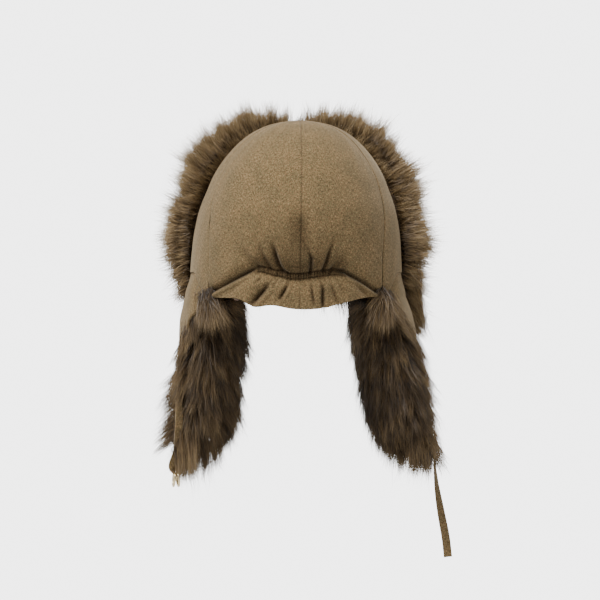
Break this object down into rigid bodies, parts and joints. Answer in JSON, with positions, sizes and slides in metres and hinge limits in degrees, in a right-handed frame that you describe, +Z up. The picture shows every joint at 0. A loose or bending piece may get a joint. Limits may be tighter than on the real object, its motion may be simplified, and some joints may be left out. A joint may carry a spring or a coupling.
{
  "type": "ushanka",
  "caption": "Wool trapper hat with a gathered back, a turned-up fur front flap, two hanging fur-lined ear flaps, a strap loop with rings and a free tie",
  "frame": {"origin": "middle of the head opening at the rim, where the hat sits on a head", "axes": "Z up through the peak, the face looks along -Y, the wearer's left is +X"},
  "size_m": [0.2711, 0.2636, 0.4268],
  "materials": {
    "wool": "heathered olive-brown woven wool",
    "fur": "long dark brown fur with paler tips",
    "satin": "smooth taupe lining satin",
    "gold": "polished pale gold plating"
  },
  "bodies": {
    "root": {"crown_back_left": "wool", "crown_back_right": "wool", "crown_side_left": "wool", "crown_side_right": "wool", "crown_front_left": "wool", "crown_front_right": "wool", "lining": "satin", "ear_flap_left": "wool", "ear_fur_left": "fur", "ear_flap_right": "wool", "ear_fur_right": "fur", "front_flap": "wool", "front_flap_fur": "fur", "strap_loop": "wool", "ring_outer": "gold", "ring_inner": "gold", "tie": "wool"}
  },
  "joints": []
}
